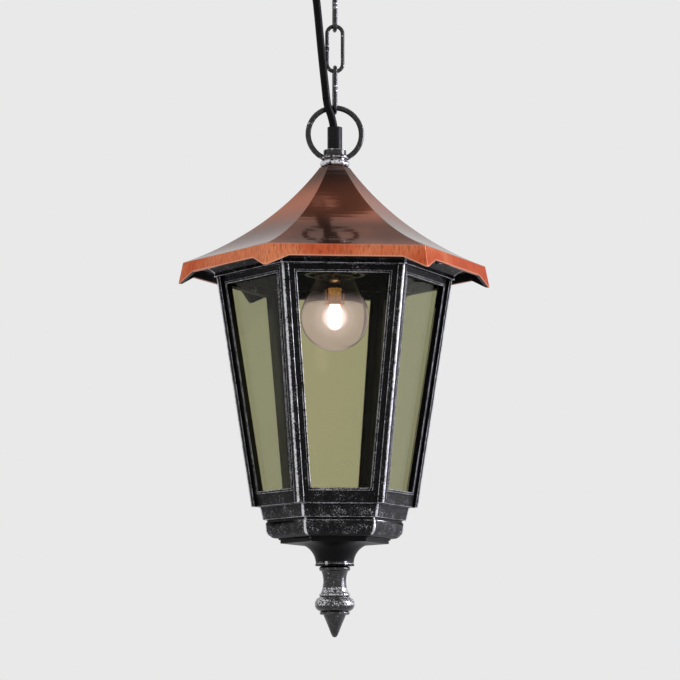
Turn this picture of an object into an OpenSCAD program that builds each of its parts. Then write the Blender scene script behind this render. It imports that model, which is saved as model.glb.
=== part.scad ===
// Hexagonal pendant lantern on a short chain, with its ceiling fitting.
// Millimetres. The origin is the middle of the ceiling bracket, at the ceiling
// face, +Z points up and everything hangs below it. One flat face looks to -Y.

/* [Ceiling fitting] */
// Outside diameter of the ceiling rose
rose_d = 100; // [88:1:140]
// Depth of the ceiling rose
rose_depth = 28; // [26:0.5:40]
// Sheet thickness of the ceiling rose
rose_wall = 1.5; // [1:0.1:2]
// Width of the steel bracket
bracket_w = 14; // [13:0.5:16]
// Thickness of the steel bracket
bracket_t = 2; // [1.5:0.1:2.5]
// Distance between the two fixing slots
slot_spacing = 64; // [60:1:68]
// End-to-end length of a fixing slot
slot_len = 12; // [8:0.5:14]
// Width of a fixing slot
slot_w = 5.2; // [4:0.1:6]
// Height from the ceiling to the middle of the hook's lowest wire
hook_drop = 60.6; // [58:0.2:75]
// Wire diameter of the hook
hook_wire = 4; // [3:0.1:5]
// Inside diameter of the hook's eye
hook_eye_d = 16; // [14:0.5:18]
// Shank diameter of the hook
shank_d = 6; // [5:0.1:8]

/* [Chain] */
// Outside length of a link
link_len = 33.2; // [28:0.2:40]
// Outside width of a link
link_w = 13; // [12:0.1:15]
// Wire diameter of a link
link_wire = 2.6; // [2:0.1:3]
// Play between two links that hang in each other
chain_gap = 0.2; // [0.15:0.05:0.4]

/* [Hanging loop] */
// Outside diameter of the ring
ring_d = 38.8; // [36:0.2:44]
// Wire diameter of the ring
ring_wire = 3.6; // [3:0.1:4.2]
// Height of the ring's middle above the roof
ring_rise = 22.4; // [21.6:0.1:24]
// Radius of the collar's foot
collar_r = 9.8; // [9:0.1:12]
// Height of the collar
collar_h = 11.4; // [11:0.1:12]
// Diameter of the threaded bore and tube
tube_d = 10; // [8:0.1:10.4]
// Bore of the threaded tube
tube_bore = 7; // [6:0.1:7.4]
// Outside diameter of the cord grip in the collar
grip_d = 9.8; // [9.2:0.1:9.8]
// Height of the cord grip above the roof
grip_top = 26.8; // [22:0.1:27.4]

/* [Roof] */
// Distance from the axis to the middle of an eave
eave_a = 86; // [80:0.5:92]
// Height of the roof from the eave to the collar
roof_rise = 64.6; // [60:0.2:70]
// Distance from the axis to a roof face at the collar
roof_top_a = 8.5; // [8:0.1:9]
// Radius of the hollow sweep of a roof face
roof_sweep_r = 170; // [150:1:220]
// Thickness of the roof casting
roof_wall = 2.4; // [2:0.1:3]
// Depth of the skirt below the eave
skirt_h = 7.7; // [6:0.1:10]
// Lean of the skirt in degrees
skirt_lean = 10; // [4:1:14]
// Depth of the pointed corner tabs below the skirt
tab_h = 6.2; // [4:0.1:8]
// Length of a tab's slanted edge along the eave
tab_w = 14; // [10:0.5:18]
// Radius of the boss under the top of the roof
boss_r = 11; // [10:0.1:12]
// Depth of the boss below the top of the roof
boss_h = 16; // [14:0.2:17]

/* [Cornice] */
// Distance from the axis to the cornice's lower edge
cornice_a = 68.4; // [68:0.1:72]
// How far the cornice's outer lip stands in from the eave
lip_in = 4; // [3:0.1:8]
// Radius of the hollow moulding
cove_r = 16; // [14:0.5:24]
// Distance from the axis to the inner edge of the ledge
ledge_a = 58; // [54:0.5:60]
// Thickness of the ledge
ledge_t = 4.2; // [3:0.1:5]

/* [Cage] */
// Distance from the axis to a rib face at the top of the cage
cage_top_a = 67.1; // [66:0.1:68]
// Distance from the axis to a rib face at the foot of the cage
cage_foot_a = 46.9; // [44:0.1:54]
// Height of the cage
cage_h = 149.9; // [140:0.5:180]
// Depth of the top of the cage below the top of the roof
cage_drop = 73.7; // [73:0.1:76]
// Width of a raised corner rib on each face
rib_w = 3.9; // [3:0.1:5]
// Height of the ribs above the panels
rib_proud = 2; // [1:0.1:2.5]
// Width of a stile from the corner to the opening
stile_w = 8.8; // [8:0.1:11]
// Height of the top rail
top_rail = 5.6; // [5.4:0.1:8]
// Height of the bottom rail
foot_rail = 9.2; // [8:0.1:14]
// Thickness of the cage wall behind the ribs
cage_wall = 3; // [2.5:0.1:4]
// Width of the bead round an opening
bead_w = 1.5; // [1:0.1:2]
// Height of the bead above the panel
bead_proud = 0.8; // [0.4:0.1:1.2]
// Thickness of the foot flange inside the cage
flange_t = 3; // [2.5:0.1:4]
// Distance from the axis to the inner edge of the foot flange
flange_a = 34; // [30:0.5:36]

/* [Panes] */
// Thickness of a glass pane
glass_t = 2; // [1.8:0.1:2.4]
// Lap of a pane behind its opening
glass_lap = 2; // [1.5:0.1:2.2]
// Width of a pane clip
clip_w = 8; // [6:0.5:12]
// Thickness of a pane clip
clip_t = 0.8; // [0.6:0.1:1]

/* [Base] */
// Distance from the axis to the upper step at its top
step1_a = 42; // [41.5:0.1:44]
// Height of the upper step
step1_h = 8.5; // [7:0.1:10]
// Distance from the axis to the lower step
step2_a = 38.7; // [38.3:0.1:40]
// Depth of the foot plate's underside below the cage
base_h = 23.6; // [22:0.1:26]
// Distance from the axis to the foot plate's edge
plate_a = 30.5; // [29:0.1:32]
// Radius of the hollow flare below the foot plate
flare_r = 13; // [11:0.1:14]
// Radius of the flare's lower end
flare_foot_r = 12.3; // [11.8:0.1:13]
// Wall thickness of the base casting
base_wall = 3; // [2.5:0.1:3.5]

/* [Finial] */
// Height of the finial
finial_h = 46; // [44:0.5:50]
// Radius of the finial's ball
ball_r = 12.9; // [12:0.1:14]
// Radius of the finial's neck
neck_r = 7.4; // [6.5:0.1:8]
// Radius of the bead above the neck
top_bead_r = 10.1; // [9.6:0.1:11]
// Diameter of the threaded stud that holds the finial
stud_d = 6; // [5:0.1:6.4]

/* [Bulb and holder] */
// Diameter of the bulb
bulb_d = 45; // [40:1:50]
// Length of the bulb's neck, from its cap to the middle of the globe
bulb_neck = 26.1; // [24:0.1:29]
// Thickness of the bulb's glass
bulb_wall = 0.8; // [0.6:0.1:1]
// Outside radius of the bulb's screw cap
cap_r = 13.2; // [13:0.1:13.3]
// Outside radius of the lampholder
holder_r = 19.5; // [19:0.1:22]
// Wall thickness of the lampholder
holder_wall = 2.2; // [2:0.1:2.4]
// Depth of the lampholder's open end below the top of the roof
holder_foot = 71.5; // [70:0.1:72]

/* [Cord] */
// Diameter of the supply cord
cord_d = 5.2; // [4.8:0.1:5.4]

/* [Hidden] */

$fn = 64;
// Radial play of a screwed or sliding fit
fit = 0.05;
// Play where a piece is laid in its seat
seat = 0.1;
// Overlap that makes a cut run right through
over = 1;

// The lantern's own screws: thread, head, and the hole that they cut their thread in
screw_d = 2.4;
screw_len = 6.2;
head_d = 4.2;
head_h = 1.5;
pilot_r = 1.25;
// The roof's screw spigots sit in the cornice, with this much of it under them
ledge_seat = 2.8;
spigot_r = 3;
spigot_foot = ledge_seat;
spigot_h = 3.6;
spot_r = 3.4;
base_boss_r = 9;

// Heights of the chain: the middle of each bend's wire
link_cc = link_len - link_wire;
upper_top = -hook_drop + (hook_wire + link_wire) / 2 + chain_gap;
upper_foot = upper_top - link_cc;
middle_top = upper_foot + link_wire + chain_gap;
middle_foot = middle_top - link_cc;
lower_top = middle_foot + link_wire + chain_gap;
lower_foot = lower_top - link_cc;
ring_r = (ring_d - ring_wire) / 2;
ring_z = lower_foot + (link_wire + ring_wire) / 2 + chain_gap - ring_r;
// Height of the top of the roof, which the lantern's own parts are measured from
roof_z = ring_z - ring_rise;

hook_eye_r = (hook_eye_d + hook_wire) / 2;
hook_eye_z = -hook_drop + hook_eye_r;
bracket_drop = 8;
nut_t = 5;
rose_nut_t = 5;
// Where the cord leaves the rose
cord_exit = [-18, -6];
rose_grip_drop = 11;
block_foot = -14;

// Roof: the sweep's centre from the two ends of the face's profile
roof_sweep = sweep_centre([roof_top_a, 0], [eave_a, -roof_rise], roof_sweep_r);
skirt_t = 2;
// Depth of solid metal at the top of the roof
roof_ceiling = 6;
skirt_out = tan(skirt_lean);

// Cage faces
lean = atan((cage_top_a - cage_foot_a) / cage_h);
slant = cage_h / cos(lean);
side_angle = atan(sin(lean) * tan(30));
cage_foot = cage_drop + cage_h;
field_depth = rib_proud + cage_wall;

// Base, measured down from the foot of the cage
step_groove = 1.8;
ovolo_r = 6;
base_screw_in = 5.2;
base_foot = cage_foot + base_h;
flare_foot = base_foot + flare_r;
lip_h = 1.3;

// Lamp
bulb_r = bulb_d / 2;
neck_top = 68.5;
cap_foot = 73.2;
// Depth of the globe's middle below the top of the roof
bulb_drop = cap_foot + bulb_neck;
shell_top = 58;
insert_top = 44;
insert_t = 6;
holder_split = 44;
contact_top = insert_top + insert_t + 0.3;

// The supply cord, from inside the lampholder up to the terminal block.
// Each stretch ends beside the middle of a chain link.
cord_lower_route = [
    [0, 0, -216], [0, 0, -196], [0, 0, -182], [0, 0, -166], [-0.4, -0.5, -159],
    [-0.9, -1.2, -153], [-2.5, -2.9, -146.5], [-5, -5, -140], [-6.1, -6.5, -135]
];
cord_middle_lower_route = [
    [-6.1, -6.5, -135], [-7, -7.2, -127], [-7.9, -7.3, -119], [-8.7, -7, -111],
    [-9.5, -6.8, -103]
];
cord_middle_upper_route = [
    [-9.5, -6.8, -103], [-10.4, -6.5, -93], [-11.4, -6.3, -82], [-12.5, -6.2, -71]
];
cord_upper_route = [
    [-12.5, -6.2, -71], [-14, -6.1, -61], [-15.8, -6, -51], [-17.2, -6, -43],
    [-18, -6, -36], [-18, -6, -25], [-18, -6, -14]
];

// Centre of a circle of radius r through a and b, above and outside the line
function sweep_centre(a, b, r) =
    let (d = b - a, l = norm(d), n = [-d[1], d[0]] / l)
    (a + b) / 2 + n * sqrt(r * r - l * l / 4);

// Half the width of a cage face at a distance down its slant
function half_w(v) = (cage_top_a - v * sin(lean)) * tan(30);

// A panel outline on a cage face between two heights, held in from the corners
function panel(v0, v1, inset) =
    let (i = inset / cos(side_angle))
    [[-half_w(v0) + i, -v0], [half_w(v0) - i, -v0],
     [half_w(v1) - i, -v1], [-half_w(v1) + i, -v1]];

// Height of the roof's outer face at a distance from the axis
function roof_h(a, r) = roof_sweep[1] - sqrt(r * r - pow(roof_sweep[0] - a, 2));

// A ring of points round a route's point, square to the way that the cord runs
function cord_ring(p, d, r, n) =
    let (w = d / norm(d), u0 = cross([0, 1, 0], w), u = u0 / norm(u0), v = cross(w, u))
    [for (i = [0:n - 1]) p + r * (cos(360 * i / n) * u + sin(360 * i / n) * v)];

module cord_tube(route) {
    n = 10;
    m = len(route);
    // The flats of the tube are held to the cord's size
    r = cord_d / 2;
    dirs = [for (i = [0:m - 1])
        i == 0 || i == m - 1 ? [0, 0, 1] : route[i + 1] - route[i - 1]];
    pts = [for (i = [0:m - 1]) each cord_ring(route[i], dirs[i], r, n)];
    sides = [for (i = [0:m - 2], j = [0:n - 1])
        [i * n + j, i * n + (j + 1) % n, (i + 1) * n + (j + 1) % n, (i + 1) * n + j]];
    foot = [[for (j = [n - 1:-1:0]) j]];
    top = [[for (j = [0:n - 1]) (m - 1) * n + j]];
    polyhedron(points = pts, faces = concat(sides, foot, top), convexity = 4);
}

// A six-sided body whose section through a face's middle is the child's outline
module hex_sweep(length = 260)
    intersection_for (k = [0:2])
        rotate([0, 0, 60 * k]) rotate([90, 0, 90])
            linear_extrude(length, center = true, convexity = 6) children();

// The child and its mirror image across the axis
module both_sides() {
    children();
    mirror([1, 0]) children();
}

// Right of the axis only, for a turned part's profile
module turned() {
    rotate_extrude(convexity = 6) intersection() {
        children();
        translate([0, -400]) square([200, 800]);
    }
}

// On one face of the cage: x along the face, y up its slant, z out of it
module on_face(k)
    rotate([0, 0, 60 * k]) translate([0, -cage_top_a, -cage_drop])
        rotate([90 + lean, 0, 0]) children();

module torus(r, wire, angle = 360)
    rotate_extrude(angle = angle, $fn = 72) translate([r, 0]) circle(d = wire, $fn = 24);

module hex_nut(flats, t, bore)
    difference() {
        cylinder(d = flats / cos(30), h = t, $fn = 6);
        translate([0, 0, -over]) cylinder(r = bore, h = t + 2 * over);
    }

// Screw with a round head: the head's seat is at z = 0 and the shank points down
module round_screw(d, length, head_d, head_h) {
    r = (head_d * head_d / 4 + head_h * head_h) / (2 * head_h);
    rotate_extrude() intersection() {
        translate([0, head_h - r]) circle(r);
        square([head_d, head_h]);
    }
    translate([0, 0, -length]) cylinder(d = d, h = length + 0.2);
}

module lantern() translate([0, 0, roof_z]) children();

// CEILING FITTING

// Steel strap, dropped in the middle so that the hook's nuts have room
module ceiling_bracket() color("silver") {
    foot = slot_spacing / 2 + slot_len / 2 + 4;
    bend = 22;
    flat = 13;
    difference() {
        rotate([90, 0, 90]) linear_extrude(bracket_w, center = true) polygon([
            [-foot, 0], [-bend, 0], [-flat, -bracket_drop], [flat, -bracket_drop],
            [bend, 0], [foot, 0], [foot, -bracket_t], [bend + 0.8, -bracket_t],
            [flat + 0.8, -bracket_drop - bracket_t],
            [-flat - 0.8, -bracket_drop - bracket_t],
            [-bend - 0.8, -bracket_t], [-foot, -bracket_t]
        ]);
        translate([0, 0, -20]) cylinder(d = shank_d + 2 * seat, h = 30);
        for (s = [-1, 1]) translate([0, s * slot_spacing / 2, -bracket_t - over]) {
            for (t = [-1, 1]) translate([0, t * (slot_len - slot_w) / 2, 0])
                cylinder(d = slot_w, h = bracket_t + 2 * over);
            translate([-slot_w / 2, -(slot_len - slot_w) / 2, 0])
                cube([slot_w, slot_len - slot_w, bracket_t + 2 * over]);
        }
    }
}

// Half section of the rose, held in by a wall: an upright rim and a round shoulder
module rose_outline(wall) {
    rim_h = 5;
    step = 4;
    shoulder = 18;
    r = rose_d / 2 - wall;
    translate([0, -rim_h + wall]) square([r, rim_h]);
    translate([0, -rose_depth + shoulder]) square([r - step, rose_depth - shoulder]);
    translate([0, -rose_depth + wall]) square([r - step - shoulder, shoulder + over]);
    intersection() {
        translate([r - step - shoulder + wall, -rose_depth + shoulder]) circle(shoulder - wall);
        translate([0, -rose_depth]) square([r, shoulder + 0.01]);
    }
}

module ceiling_rose() color("dimgray") difference() {
    rotate_extrude(convexity = 6) difference() {
        rose_outline(0);
        rose_outline(rose_wall);
        square([rose_d, rose_depth]);
    }
    translate([0, 0, -rose_depth - over]) cylinder(d = shank_d + 2 * seat, h = 5);
    translate([cord_exit[0], cord_exit[1], -rose_depth - over])
        cylinder(r = 5 + seat, h = 5);
}

// Forged hook with an open eye and a threaded shank
module ceiling_hook() color("gray") {
    gap_from = 150;
    translate([0, 0, hook_eye_z]) rotate([90, 0, 0]) {
        rotate([0, 0, gap_from]) torus(hook_eye_r, hook_wire, 300);
        rotate([0, 0, gap_from]) translate([hook_eye_r, 0, 0]) sphere(d = hook_wire, $fn = 32);
    }
    top = -bracket_drop + nut_t;
    foot = hook_eye_z + hook_eye_r;
    translate([0, 0, foot]) cylinder(d = shank_d, h = top - foot);
    translate([0, 0, foot - 0.5]) sphere(r = shank_d / 2 + 0.6, $fn = 48);
}

module hook_nuts() color("silver") {
    for (z = [-bracket_drop, -bracket_drop - bracket_t - nut_t])
        translate([0, 0, z]) hex_nut(10, nut_t, shank_d / 2 + fit);
}

// Knurled nut that holds the rose up against the ceiling
module rose_nut() color("dimgray") translate([0, 0, -rose_depth - rose_nut_t])
    difference() {
        rotate_extrude() union() {
            square([9 - 1.5, rose_nut_t]);
            translate([9 - 1.5, 1.5]) circle(1.5);
            translate([0, 1.5]) square([9, rose_nut_t - 1.5]);
        }
        translate([0, 0, -over]) cylinder(r = shank_d / 2 + fit, h = 20);
    }

module rose_cord_grip() color("black")
    translate([cord_exit[0], cord_exit[1], 0]) difference() {
        union() {
            translate([0, 0, -rose_depth - rose_grip_drop]) cylinder(r = 5.4, h = 8, $fn = 48);
            translate([0, 0, -rose_depth - 4]) cylinder(d = 13 / cos(30), h = 4, $fn = 6);
            translate([0, 0, -rose_depth - over]) cylinder(r = 5, h = 7 + over);
        }
        translate([0, 0, -60]) cylinder(d = cord_d + 3 * seat, h = 60);
        translate([0, 0, -rose_depth - rose_grip_drop - over])
            cylinder(d = cord_d + 1.6, h = 5 + over);
    }

module rose_grip_nut() color("black")
    translate([cord_exit[0], cord_exit[1], -rose_depth + rose_wall]) hex_nut(14, 3.5, 5 + fit);

// Three-way terminal block beside the strap
module terminal_block() color("ivory") difference() {
    translate([-bracket_w / 2 - seat - 22, cord_exit[1] - 8.5, block_foot])
        cube([22, 17, -block_foot - 0.4]);
    for (i = [-1, 1]) translate([cord_exit[0] + 3.6 * i - 0.5 * i, 60, block_foot + 4])
        rotate([90, 0, 0]) cylinder(r = 1.3, h = 120, $fn = 24);
    for (s = [-1, 1]) translate([-bracket_w / 2 - seat - 18, cord_exit[1] + 4.5 * s, block_foot - over])
        cylinder(r = 1.6, h = 4, $fn = 24);
}

// CHAIN

// One welded link, upright, with its flat side to -Y
module link() color("gray") {
    r = (link_w - link_wire) / 2;
    half = link_len / 2 - link_w / 2;
    for (s = [0, 1]) mirror([0, 0, s]) translate([0, 0, half])
        rotate([90, 0, 0]) torus(r, link_wire, 180);
    for (s = [-1, 1]) translate([s * r, 0, -half])
        cylinder(d = link_wire, h = 2 * half, $fn = 24);
}

module chain_link_upper()
    translate([0, 0, (upper_top + upper_foot) / 2]) rotate([0, 0, 90]) link();

module chain_link_middle()
    translate([0, 0, (middle_top + middle_foot) / 2]) link();

module chain_link_lower()
    translate([0, 0, (lower_top + lower_foot) / 2]) rotate([0, 0, 90]) link();

// CORD

module cord_upper() color("black") cord_tube(cord_upper_route);
module cord_middle_upper() color("black") cord_tube(cord_middle_upper_route);
module cord_middle_lower() color("black") cord_tube(cord_middle_lower_route);
module cord_lower() color("black") cord_tube(cord_lower_route);

// HANGING LOOP AND ITS FIXING

// Ring and turned collar, cast in one
module hanging_loop() color("dimgray") lantern() difference() {
    union() {
        turned() {
            foot = 2.3;
            square([collar_r - foot, collar_h]);
            translate([collar_r - foot, foot]) circle(foot);
            square([collar_r - foot, 2 * foot]);
            translate([collar_r - 2.1, 6.6]) circle(1.2);
            translate([collar_r - 3.8, collar_h - 1.5]) circle(1.5);
        }
        translate([0, 0, ring_rise]) rotate([90, 0, 0]) torus(ring_r, ring_wire);
    }
    translate([0, 0, -over]) cylinder(d = tube_d, h = collar_h + over + 1);
}

// Smooth cord grip with a flared mouth, pushed into the collar
module cord_grip() color("black") lantern() difference() {
    translate([0, 0, 3.2]) cylinder(d = grip_d, h = grip_top - 3.2);
    cylinder(d = cord_d + 0.3, h = grip_top + over);
    translate([0, 0, grip_top - 13]) cylinder(d1 = cord_d + 0.3, d2 = 8.6, h = 13.01);
}

module threaded_tube() color("silver") lantern() difference() {
    translate([0, 0, -31]) cylinder(d = tube_d - 2 * fit, h = 34);
    translate([0, 0, -31 - over]) cylinder(d = tube_bore, h = 34 + 2 * over);
}

module tube_washer() color("silver") lantern() translate([0, 0, -boss_h - 1.2])
    difference() {
        cylinder(r = 10, h = 1.2);
        translate([0, 0, -over]) cylinder(d = tube_d + 2 * seat, h = 4);
    }

module tube_nut() color("silver") lantern()
    translate([0, 0, -boss_h - 1.2 - 4]) hex_nut(16, 4, tube_d / 2 + fit);

// ROOF

// Points down a hollow sweep of radius r, from a height to a distance from the axis
function sweep_down(r, top, a, n = 24) =
    let (from = 180 + asin((roof_sweep[1] - top) / r),
         to = 180 + acos((roof_sweep[0] - a) / r))
    [for (i = [0:n]) roof_sweep + r * [cos(from + (to - from) * i / n),
                                       sin(from + (to - from) * i / n)]];

// Six-sided shell lofted through [distance from the axis, height] points, which run
// down the outside and up the inside, with a flat face over each end
module hex_shell(profile) {
    points = [for (p = profile, k = [0:5])
        [p[0] / cos(30) * cos(60 * k), p[0] / cos(30) * sin(60 * k), p[1]]];
    last = len(profile) - 1;
    sides = [for (i = [0:last - 1], k = [0:5])
        [6 * i + k, 6 * i + (k + 1) % 6, 6 * i + 6 + (k + 1) % 6, 6 * i + 6 + k]];
    polyhedron(
        points = points,
        faces = concat([[5, 4, 3, 2, 1, 0]], sides, [[for (k = [0:5]) 6 * last + k]]),
        convexity = 6
    );
}

// Cast roof: six hollow-swept faces, a leaning skirt and pointed corner tabs
module roof() color("sienna") lantern() difference() {
    union() {
        skirt_foot = -roof_rise - skirt_h - tab_h;
        skirt_a = eave_a + skirt_out * (skirt_h + tab_h);
        inside = sweep_down(roof_sweep_r + roof_wall, -roof_ceiling, eave_a - skirt_t);
        hex_shell(concat(
            sweep_down(roof_sweep_r, 0, eave_a),
            [[skirt_a, skirt_foot], [skirt_a - skirt_t, skirt_foot]],
            [for (i = [len(inside) - 1:-1:0]) inside[i]]
        ));
        translate([0, 0, -boss_h]) cylinder(r = boss_r, h = boss_h - roof_ceiling + 1);
        roof_screw_places() translate([0, 0, spigot_foot])
            cylinder(r = spigot_r, h = spigot_h);
    }
    skirt_cuts();
    translate([0, 0, -boss_h - over]) cylinder(d = tube_d + 2 * seat, h = boss_h + 2 * over);
    roof_screw_places() translate([0, 0, spigot_foot - over])
        cylinder(r = pilot_r, h = over + screw_len - ledge_seat + 0.5);
}

// Between the corner tabs the skirt is cut off level
module skirt_cuts() {
    half = eave_a * tan(30);
    low = -roof_rise - skirt_h;
    for (k = [0:5]) rotate([0, 0, 60 * k]) translate([0, -eave_a + 12, 0])
        rotate([90, 0, 0]) linear_extrude(30) polygon([
            [-half + tab_w, low], [half - tab_w, low], [half + 2, low - tab_h * (1 + 2 / tab_w)],
            [half + 2, low - 20], [-half - 2, low - 20],
            [-half - 2, low - tab_h * (1 + 2 / tab_w)]
        ]);
}

// CORNICE

cove_foot = cage_drop - 2.5;
cornice_lip_a = eave_a - lip_in;
lip_low = [cornice_lip_a, -roof_rise - 2];
lip_high = [cornice_lip_a, -roof_rise - 1.2];
// The flange lies just under the roof, which is roof_wall thick
cornice_crest = [cornice_lip_a - 10, roof_h(cornice_lip_a - 10, roof_sweep_r + roof_wall) - 0.3];

// Cast hexagonal ring that the roof sits on, with a hollow moulding outside
module cornice() color("black") lantern() difference() {
    union() {
        hex_sweep() both_sides() difference() {
            polygon([
                [0, -cage_drop], [cornice_a, -cage_drop], [cornice_a, -cove_foot],
                lip_low, lip_high, cornice_crest, [0, cornice_crest[1]]
            ]);
            intersection() {
                translate(sweep_centre(lip_low, [cornice_a, -cove_foot], cove_r))
                    circle(cove_r, $fn = 120);
                translate([0, -cove_foot]) square([cornice_lip_a + over, cove_foot]);
            }
        }
        roof_screw_places() cylinder(r = spot_r, h = 3);
    }
    hex_sweep() both_sides() polygon([
        [0, -cage_drop + ledge_t], [cornice_a - 1.6, -cage_drop + ledge_t],
        [cornice_crest[0] - 2, cornice_crest[1]],
        [cornice_crest[0] - 2, cornice_crest[1] + over], [0, cornice_crest[1] + over]
    ]);
    hex_sweep() square([2 * ledge_a, 400], center = true);
    roof_screw_places() {
        translate([0, 0, -10]) cylinder(r = spot_r, h = 10);
        cylinder(r = screw_d / 2 + seat, h = 20);
        translate([0, 0, spigot_foot - seat]) cylinder(r = spigot_r + seat, h = 20);
    }
    cage_screw_places() translate([0, 0, -over])
        cylinder(r = screw_d / 2 + seat, h = ledge_t + 2 * over);
}

// Two roof screws, on the right front face and the one opposite
module roof_screw_places() for (k = [1, 4]) rotate([0, 0, 60 * k])
    translate([0, -cornice_lip_a + 7, -roof_rise - 3]) children();

module roof_screws() color("silver") lantern()
    roof_screw_places() mirror([0, 0, 1]) round_screw(screw_d, screw_len, head_d, head_h);

// Three cage screws, down through the ledge into the cage's corners
module cage_screw_places() for (k = [0:2]) rotate([0, 0, 30 + 120 * k])
    translate([0, -(cage_top_a - 3.1) / cos(30), -cage_drop]) children();

module cage_screws() color("silver") lantern()
    cage_screw_places() translate([0, 0, ledge_t])
        round_screw(screw_d, ledge_t + 5.5, head_d, head_h);

// CAGE

// One casting: six ribbed corners, beaded openings and an inner foot flange
module cage() color("black") lantern() difference() {
    union() {
        difference() {
            hex_sweep() both_sides() polygon([
                [0, -cage_drop], [cage_top_a, -cage_drop],
                [cage_foot_a, -cage_foot], [0, -cage_foot]
            ]);
            for (k = [0:5]) on_face(k) translate([0, 0, -rib_proud])
                linear_extrude(rib_proud + 4) polygon(panel(-3, slant + 3, rib_w));
        }
        for (k = [0:5]) on_face(k) translate([0, 0, -rib_proud - 0.5])
            linear_extrude(bead_proud + 0.5) polygon(
                panel(top_rail - bead_w, slant - foot_rail + bead_w, stile_w - bead_w));
    }
    hex_sweep() both_sides() polygon([
        [0, -cage_drop + over],
        [cage_top_a - field_depth / cos(lean) + over * tan(lean), -cage_drop + over],
        [cage_top_a - field_depth / cos(lean) - (cage_h - flange_t) * tan(lean),
         -cage_foot + flange_t],
        [0, -cage_foot + flange_t]
    ]);
    hex_sweep() translate([-flange_a, -cage_foot - over]) square([2 * flange_a, 10]);
    for (k = [0:5]) on_face(k) translate([0, 0, -field_depth - 6])
        linear_extrude(20) polygon(panel(top_rail, slant - foot_rail, stile_w));
    cage_screw_places() translate([0, 0, -6]) cylinder(r = pilot_r, h = 6 + over);
    base_screw_places() translate([0, 0, -over])
        cylinder(r = screw_d / 2 + seat, h = flange_t + 2 * over);
}

// A pane lies against the inside of its opening
module pane(k) color("tan", 0.4) lantern() on_face(k)
    translate([0, 0, -field_depth - seat - glass_t]) linear_extrude(glass_t)
        polygon(panel(top_rail - glass_lap, slant - foot_rail + glass_lap, stile_w - glass_lap));

module pane_front() pane(0);
module pane_front_right() pane(1);
module pane_back_right() pane(2);
module pane_back() pane(3);
module pane_back_left() pane(4);
module pane_front_left() pane(5);

// Stepped spring clip: one leg on the rail, the other over the edge of the pane
module clip_outline() {
    back = -field_depth - seat;
    step = glass_t + 0.2;
    reach = 2.9 + glass_lap;
    polygon([
        [1, back], [2.9, back], [2.9, back - step], [reach, back - step],
        [reach, back - step - clip_t], [2.9 - clip_t, back - step - clip_t],
        [2.9 - clip_t, back - clip_t], [1, back - clip_t]
    ]);
}

module pane_clips() color("darkgray") lantern() for (k = [0:5]) on_face(k) {
    translate([0, -(top_rail - glass_lap - 3), 0]) rotate([0, -90, 0])
        rotate([0, 0, -90]) linear_extrude(clip_w, center = true) clip_outline();
    translate([0, -(slant - foot_rail + glass_lap + 3), 0]) rotate([0, -90, 0])
        rotate([0, 0, -90]) linear_extrude(clip_w, center = true)
            mirror([1, 0]) clip_outline();
}

// BASE AND FINIAL

// Stepped hexagonal cup with the flare below it, in one casting
module base() color("black") lantern() difference() {
    union() {
        hex_sweep() both_sides() {
            step2_top = cage_foot + step1_h + step_groove;
            plate_top = base_foot - 2.2;
            polygon([
                [0, -cage_foot], [step1_a, -cage_foot],
                [step1_a - 1.6, -cage_foot - step1_h], [0, -cage_foot - step1_h]
            ]);
            translate([0, -step2_top]) square([step2_a - 0.5, step_groove + 0.1]);
            translate([0, -plate_top + 1 + ovolo_r])
                square([step2_a, plate_top - 1 - ovolo_r - step2_top]);
            translate([step2_a - ovolo_r, -plate_top + 1 + ovolo_r]) circle(ovolo_r);
            translate([0, -plate_top + 1]) square([step2_a - ovolo_r, ovolo_r]);
            translate([0, -plate_top]) square([plate_a + 1, 1.1]);
            translate([0, -base_foot]) square([plate_a, 2.3]);
        }
        turned() difference() {
            translate([0, -flare_foot]) square([flare_foot_r + flare_r, flare_r + 0.1]);
            translate([flare_foot_r + flare_r, -flare_foot]) circle(flare_r, $fn = 120);
        }
        translate([0, 0, -flare_foot - lip_h]) cylinder(r = flare_foot_r + 0.3, h = lip_h + 0.1);
    }
    difference() {
        hex_sweep() both_sides() polygon([
            [0, -cage_foot + over], [step1_a - 5.5, -cage_foot + over],
            [step1_a - 5.5, -cage_foot - 6.4], [step2_a - 5, -cage_foot - 8.4],
            [step2_a - 5, -base_foot + 11], [plate_a - 4, -base_foot + 2 * base_wall],
            [0, -base_foot + 2 * base_wall]
        ]);
        translate([0, 0, -base_foot]) cylinder(r = base_boss_r, h = 3 * base_wall);
    }
    translate([0, 0, -base_foot - 40]) cylinder(d = stud_d + 4 * fit, h = 80);
    base_screw_places() translate([0, 0, -base_screw_in - 0.8])
        cylinder(r = pilot_r, h = base_screw_in + 0.8 + over);
}

module base_screw_places() for (k = [0:2]) rotate([0, 0, 120 * k])
    translate([0, -step1_a + 3.2, -cage_foot]) children();

module base_screws() color("silver") lantern()
    base_screw_places() translate([0, 0, flange_t])
        round_screw(screw_d, flange_t + base_screw_in, head_d, head_h);

finial_top = flare_foot + lip_h;

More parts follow.
